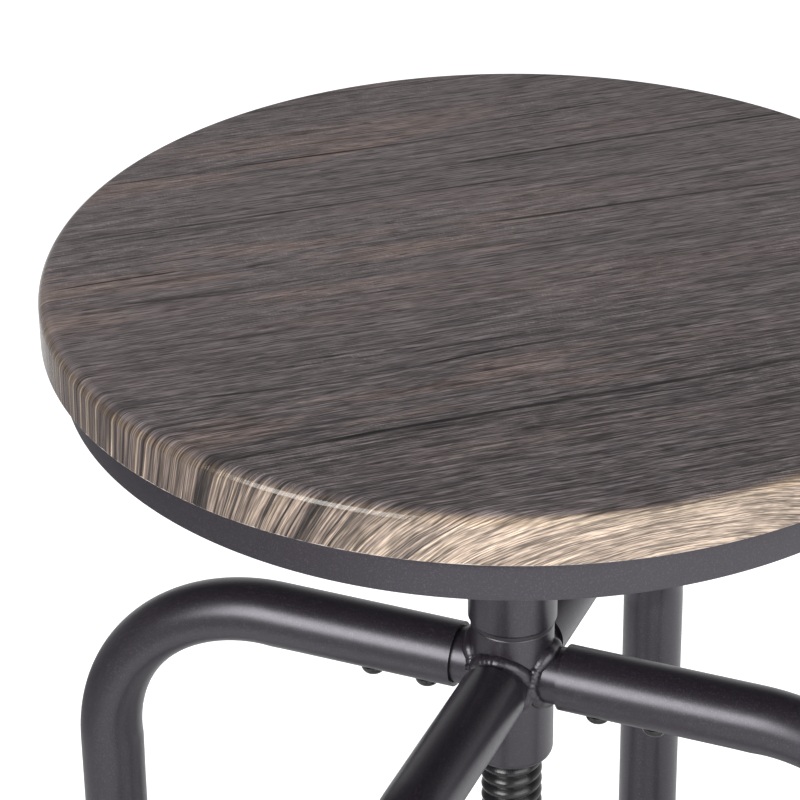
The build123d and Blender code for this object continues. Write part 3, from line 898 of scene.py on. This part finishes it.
def leg_surface(wall, bend, flat):
    """Tube carried along a level run, a quarter bend and an upright run, out along its outside and back
    along its bore. In the bend the inner side is flattened as sin of the way round, with a small swelling at
    each end."""
    level_rings, bend_rings, upright_rings = 14, 49, 20
    level = np.linspace(LEG_START, LEG_REACH - bend, level_rings)[:-1]
    turn = np.linspace(0, pi / 2, bend_rings)
    fall = np.linspace(LEG_AXIS - bend, LEG_END, upright_rings)[1:]
    x = np.concatenate([level, LEG_REACH - bend + bend * np.sin(turn), LEG_REACH + 0 * fall])
    z = np.concatenate([LEG_AXIS + 0 * level, LEG_AXIS - bend + bend * np.cos(turn), fall])
    heading = np.concatenate([0 * level, turn, pi / 2 + 0 * fall])
    path = np.stack([x, 0 * x, z], -1)
    outer = np.stack([np.sin(heading), 0 * x, np.cos(heading)], -1)
    aside = np.tile([0.0, -1.0, 0.0], (len(x), 1))

    length = np.concatenate([[0], np.cumsum(np.linalg.norm(np.diff(path, axis=0), axis=1))])
    start = LEG_REACH - bend - LEG_START
    end = start + bend * pi / 2
    share = np.clip((length - start) / (end - start), 0, 1)
    swell = 5 * MM
    swelling = np.exp(-((length - start) / swell) ** 2) + np.exp(-((length - end) / swell) ** 2)
    dent = flat * (np.sin(pi * share) ** 0.8 - 0.12 * swelling)
    rows = []
    for radius, order in ((LEG_RADIUS, slice(None)), (LEG_RADIUS - wall, slice(None, None, -1))):
        ring = np.tile(circle(radius, SIDES), (len(x), 1, 1))
        inward = np.clip(-ring[..., 0] / radius, 0, 1) ** 2
        ring[..., 0] += dent[:, None] * inward
        rows.append(carried(ring, path, outer, aside)[order])
    return np.concatenate(rows)


class STOOL_OT_screw_heads(Operator):
    """Button-head screws under the legs and on the outside of the footrest's joints"""
    bl_idname = "stool.screw_heads"
    bl_label = "Screw heads"

    def execute(self, context):
        looks = context.scene.stool.metal
        outer = LEG_SCREW_OUTSIDE - looks.leg_screw_head
        seat = LEG_AXIS - LEG_RADIUS
        head = button_head(looks.leg_screw_head, LEG_SCREW_HEAD_HEIGHT, LEG_SCREW_SOCKET) * (1, -1, -1)
        pair = [head + (place, 0, seat) for place in (outer - looks.leg_screw_pitch, outer)]
        sheets = [(about_axis(one, turn), False, True) for turn in LEG_TURNS.values() for one in pair]
        add_piece("leg_screw_heads", "frame", "black_screw", sheets, ["leg_screws"])
        head = button_head(looks.ring_screw_head, RING_SCREW_HEAD_HEIGHT, RING_SCREW_SOCKET)
        one = head[..., [2, 1, 0]] * (1, -1, 1) + (LEG_REACH + LEG_RADIUS, 0, RING_HEIGHT)
        sheets = [(about_axis(one, turn), False, True) for turn in LEG_TURNS.values()]
        add_piece("footrest_screw_heads", "frame", "black_screw", sheets, ["footrest_screws"])
        return {"FINISHED"}


def button_head(radius, height, socket):
    """Domed head along +Z, seated at zero on a short stem, with a hexagonal socket: outside the socket each
    ring is a circle, and inside it each ring is a hexagon, whose radius is its flat over the cosine from
    that flat."""
    sides = 48
    angle = np.arange(sides) * tau / sides
    hexagon = socket / np.cos((angle + pi / 6) % (pi / 3) - pi / 6)
    rim, crown = 0.25 * MM, height * 0.85
    dome = rounded([(radius, 0, rim), (radius, height, crown), (0, height, 0)], steps=10)[:-1]
    sunk, stalk = 1.2 * MM, radius * 0.7
    stem = np.array([(0, -sunk), (stalk, -sunk), (stalk, 0)])
    outline = np.concatenate([stem, dome])
    lead_in, lead_depth, floor = 1.12, 0.12 * MM, height * 0.4
    radii = np.concatenate([outline[:, :1] + 0 * angle, np.array([lead_in, 1, 1, 0])[:, None] * hexagon])
    levels = np.concatenate([outline[:, 1], [height, height - lead_depth, floor, floor]])
    return np.stack([radii * np.cos(angle), radii * np.sin(angle), levels[:, None] + 0 * angle], -1)


class STOOL_OT_spindle(Operator):
    """Coarse right-hand screw with a plain neck"""
    bl_idname = "stool.spindle"
    bl_label = "Spindle"

    def execute(self, context):
        looks = context.scene.stool.metal
        start = NECK_BOTTOM - NECK_SUNK
        neck = rounded([
            (0, start, 0),
            (looks.neck_radius, start, 0),
            (looks.neck_radius, SPINDLE_TOP, 0.3 * MM),
            (0, SPINDLE_TOP, 0),
        ])
        thread = thread_surface(looks.thread_pitch, looks.thread_depth)
        add_piece("spindle_thread", "seat", "black_thread", [(thread, False, False)], ["spindle"],
                  cut=((SPINDLE_BOTTOM, -1), (NECK_BOTTOM, 1)))
        add_piece("spindle_neck", "seat", "black_thread", [(turned(neck), False, True)])
        return {"FINISHED"}


def thread_surface(pitch, depth):
    """Right-hand thread: a wave one pitch high, the size of a cosine, so round on its crest and sharp in its
    groove, carried up a helix that rises one pitch a turn, so that the top of each turn meets the foot of
    the next."""
    sides, wave = 64, 16
    turns = int((NECK_BOTTOM - SPINDLE_BOTTOM) / pitch) + 3
    angle = np.arange(turns * sides + 1)[:, None] * tau / sides
    share = np.linspace(0, 1, wave + 1)[None]
    radius = SPINDLE_RADIUS - depth * (1 - np.abs(np.cos(pi * share)))
    height = SPINDLE_BOTTOM - 1.5 * pitch + pitch * (angle / tau + share)
    return np.stack([radius * np.cos(angle), radius * np.sin(angle), height], -1).transpose(1, 0, 2)


class STOOL_OT_footrest(Operator):
    """Ring footrest"""
    bl_idname = "stool.footrest"
    bl_label = "Footrest ring"

    def execute(self, context):
        outline = circle(RING_TUBE, RING_TUBE_SIDES) + (RING_RADIUS, RING_HEIGHT)
        add_piece("footrest_ring_tube", "frame", "powder_coat",
                  [(turned(outline, RING_SIDES), True, True)], ["footrest_ring"])
        return {"FINISHED"}


class STOOL_OT_foot_caps(Operator):
    """Moulded caps on the feet"""
    bl_idname = "stool.foot_caps"
    bl_label = "Foot caps"

    def execute(self, context):
        bore = LEG_RADIUS + CAP_GAP
        sole_round, rim_round, bore_round = 2.5 * MM, 0.8 * MM, 0.4 * MM
        outline = rounded([
            (0, 0, 0),
            (CAP_RADIUS, 0, sole_round),
            (CAP_RADIUS, CAP_TOP, rim_round),
            (bore, CAP_TOP, bore_round),
            (bore, LEG_END, 0),
            (0, LEG_END, 0),
        ])
        for side, turn in LEG_TURNS.items():
            cap = about_axis(turned(outline) + (LEG_REACH, 0, 0), turn)
            add_piece(f"foot_cap_{side}_moulded", "frame", "black_plastic", [(cap, False, True)],
                      [f"foot_cap_{side}"])
        return {"FINISHED"}


class STOOL_OT_fixings(Operator):
    """Finishes on the fixings whose own solids show"""
    bl_idname = "stool.fixings"
    bl_label = "Fixings"

    def execute(self, context):
        finishes = {
            "zinc_plated_steel": ("seat_inserts", "seat_screws", "flange_bolts", "stop_washer", "stop_screw",
                                  "leg_nuts", "footrest_nuts", "spindle_nut"),
            "charcoal_powder_coat": ("spindle_flange",),
            "moulded_black_polypropylene": ("sleeve_bush", "guide_bush", "footrest_saddles"),
        }
        for name, nodes in finishes.items():
            for node in nodes:
                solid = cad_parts[node]
                solid.data.materials.clear()
                solid.data.materials.append(finish_of(name))
        return {"FINISHED"}


# Lamps: turn about the stool and rise in degrees, distance and size in metres, then power in watts
LAMPS = {
    "left_softbox": (-44, 20, 2.2, (1.4, 1.2), 58),
    "right_softbox": (30, 22, 2.3, (2.0, 1.8), 40),
}
LAMP_AIM = Vector((0, 0, 0.5))
FLOOR_HALF = 30.0
SENSOR_MM = 36


class STOOL_OT_stage(Operator):
    """Pale floor, soft studio light and the camera"""
    bl_idname = "stool.stage"
    bl_label = "Stage"

    def execute(self, context):
        looks = context.scene.stool.stage
        heading = Matrix.Rotation(looks.camera_turn, 4, "Z")
        self.add_floor(looks, heading)
        self.add_world(heading)
        self.add_lamps(context, heading)
        self.add_camera(context, looks, heading)
        context.scene.view_settings.view_transform = "Standard"
        return {"FINISHED"}

    def add_floor(self, looks, heading):
        """Flat square. It is diffuse, with a white glow for the camera that keeps its shadows pale. In
        reflections the glow grows to the right and behind, and it is weak to the left and under the
        stool."""
        material, tree, shader = new_finish("pale_studio_floor")
        place = add_node(tree, "ShaderNodeTexCoord", out="Object")
        away = add_node(tree, "ShaderNodeVectorMath", (place,), out="Value", operation="LENGTH")
        far = add_node(tree, "ShaderNodeMapRange", (away, 0.3, 1.0), interpolation_type="SMOOTHSTEP")
        side = add_node(tree, "ShaderNodeVectorMath", (place,), operation="NORMALIZE")
        side = add_node(tree, "ShaderNodeVectorMath", {0: side, "Scale": far}, operation="SCALE")
        value = {"away": away}
        for name, vector, toward in (("right", side, (1, 0, 0)), ("back", place, (0, 1, 0))):
            sockets = (vector, heading @ Vector(toward))
            value[name] = add_node(tree, "ShaderNodeVectorMath", sockets, out="Value",
                                   operation="DOT_PRODUCT")
        # What each follows, from and to, then its first and last value: away and back are in metres
        for name, source, *ends in (
            ("under", "away", 0.1, 0.7, 0.2, 1),
            ("seen", "away", 0.25, 0.6, 0.55, 1.25),
            ("behind", "back", 0.4, 1.6, 0, 1),
            ("pale", "right", -0.75, -0.35, 0.4, 1),
            ("glow", "right", -0.8, 0.6, 0.16, 1.25),
        ):
            sockets = (value[source], *ends)
            value[name] = add_node(tree, "ShaderNodeMapRange", sockets, interpolation_type="SMOOTHSTEP")
        for other, operation in (("behind", "MAXIMUM"), ("under", "MULTIPLY")):
            sockets = (value["glow"], value[other])
            value["glow"] = add_node(tree, "ShaderNodeMath", sockets, operation=operation)
        pale = seen_by(tree, 1.0, value["pale"], 1.0)
        colour = add_node(tree, "ShaderNodeVectorMath", {0: looks.floor, "Scale": pale}, operation="SCALE")
        glow = seen_by(tree, 0.0, value["glow"], value["seen"])
        fill(shader, {
            "Base Color": colour, "Roughness": 0.9, "Emission Color": colour, "Emission Strength": glow,
        })

        mesh = bpy.data.meshes.new("studio_floor")
        corners = [(-1, -1, 0), (1, -1, 0), (1, 1, 0), (-1, 1, 0)]
        mesh.from_pydata(np.array(corners) * FLOOR_HALF, [], [(0, 1, 2, 3)])
        mesh.materials.append(material)
        floor = bpy.data.objects.new("studio_floor", mesh)
        bpy.context.collection.objects.link(floor)

    def add_world(self, heading):
        """White for the camera, plain grey as light on the object, and in reflections white at the horizon
        and below it and dark overhead and to the left."""
        world = bpy.data.worlds.new("studio")
        bpy.context.scene.world = world
        world.use_nodes = True
        tree = world.node_tree
        direction = add_node(tree, "ShaderNodeTexCoord", out="Generated")
        reflected = 1.0
        # Toward what the light changes, from and to which part of the way, then its first and last value
        for toward, *ends in (
            (Vector((0, 0, 1)), 0, 0.60, 1, 0.07),
            (heading @ Vector((1, 0, 0)), -0.5, -0.25, 0.2, 1),
        ):
            sockets = (direction, toward)
            part = add_node(tree, "ShaderNodeVectorMath", sockets, out="Value", operation="DOT_PRODUCT")
            light = add_node(tree, "ShaderNodeMapRange", (part, *ends), interpolation_type="SMOOTHSTEP")
            reflected = add_node(tree, "ShaderNodeMath", (reflected, light), operation="MULTIPLY")
        light = seen_by(tree, 0.26, reflected, 1.0)
        fill(tree.nodes["Background"], {"Color": (1, 1, 1, 1), "Strength": light})

    def add_lamps(self, context, heading):
        """Soft boxes that face the stool and that the camera doesn't see."""
        for name, (turn, rise, distance, size, power) in LAMPS.items():
            away = Matrix.Rotation(radians(turn), 3, "Z") @ Matrix.Rotation(-radians(rise), 3, "X")
            away = away @ Vector((0, -1, 0))
            data = bpy.data.lights.new(name, "AREA")
            data.shape = "RECTANGLE"
            data.size, data.size_y = size
            data.energy = power
            lamp = bpy.data.objects.new(name, data)
            context.collection.objects.link(lamp)
            place = LAMP_AIM + away * distance
            lamp.matrix_world = heading @ Matrix.LocRotScale(place, away.to_track_quat("Z", "Y"), None)
            lamp.visible_camera = False

    def add_camera(self, context, looks, heading):
        """Camera before the front, looking down on the seat, as its settings say."""
        data = bpy.data.cameras.new("photo_camera")
        data.lens = looks.camera_lens
        data.sensor_width = SENSOR_MM
        camera = bpy.data.objects.new("photo_camera", data)
        context.collection.objects.link(camera)
        place = Matrix.Translation((looks.camera_aside, -looks.camera_back, SEAT_TOP + looks.camera_above))
        pitch = Matrix.Rotation(pi / 2 - looks.camera_pitch, 4, "X")
        roll = Matrix.Rotation(looks.camera_roll, 4, "Z")
        camera.matrix_world = heading @ place @ pitch @ roll
        context.scene.camera = camera


def seen_by(tree, light, mirrored, camera):
    """Value that is one thing in the light on the stool, one in its reflections and one for the camera."""
    rays = add_node(tree, "ShaderNodeLightPath", out=None)
    bounced = (rays["Is Glossy Ray"], rays["Is Transmission Ray"])
    bounced = add_node(tree, "ShaderNodeMath", bounced, operation="MAXIMUM")
    value = add_node(tree, "ShaderNodeMapRange", (bounced, 0, 1, light, mirrored))
    return add_node(tree, "ShaderNodeMapRange", (rays["Is Camera Ray"], 0, 1, value, camera))


PIECES = (
    STOOL_OT_seat_board, STOOL_OT_seat_pan, STOOL_OT_cover_sleeve, STOOL_OT_hub, STOOL_OT_stubs,
    STOOL_OT_legs, STOOL_OT_screw_heads, STOOL_OT_spindle, STOOL_OT_footrest, STOOL_OT_foot_caps,
    STOOL_OT_fixings, STOOL_OT_stage,
)


class STOOL_PT_panel(Panel):
    bl_label = "Swivel bar stool"
    bl_idname = "STOOL_PT_panel"
    bl_space_type = "VIEW_3D"
    bl_region_type = "UI"
    bl_category = "Stool"

    def draw(self, context):
        looks = context.scene.stool
        for group in (looks.seat, looks.metal, looks.stage):
            box = self.layout.box()
            for name in group.__annotations__:
                box.prop(group, name)
        for piece in PIECES:
            self.layout.operator(piece.bl_idname)


CLASSES = (SeatLooks, MetalLooks, StageLooks, StoolLooks) + PIECES + (STOOL_PT_panel,)


def register():
    for one in CLASSES:
        bpy.utils.register_class(one)
    bpy.types.Scene.stool = PointerProperty(type=StoolLooks)


def unregister():
    del bpy.types.Scene.stool
    for one in reversed(CLASSES):
        bpy.utils.unregister_class(one)


def main():
    register()
    for piece in PIECES:
        group, name = piece.bl_idname.split(".")
        getattr(getattr(bpy.ops, group), name)()


if __name__ == "__main__":
    main()
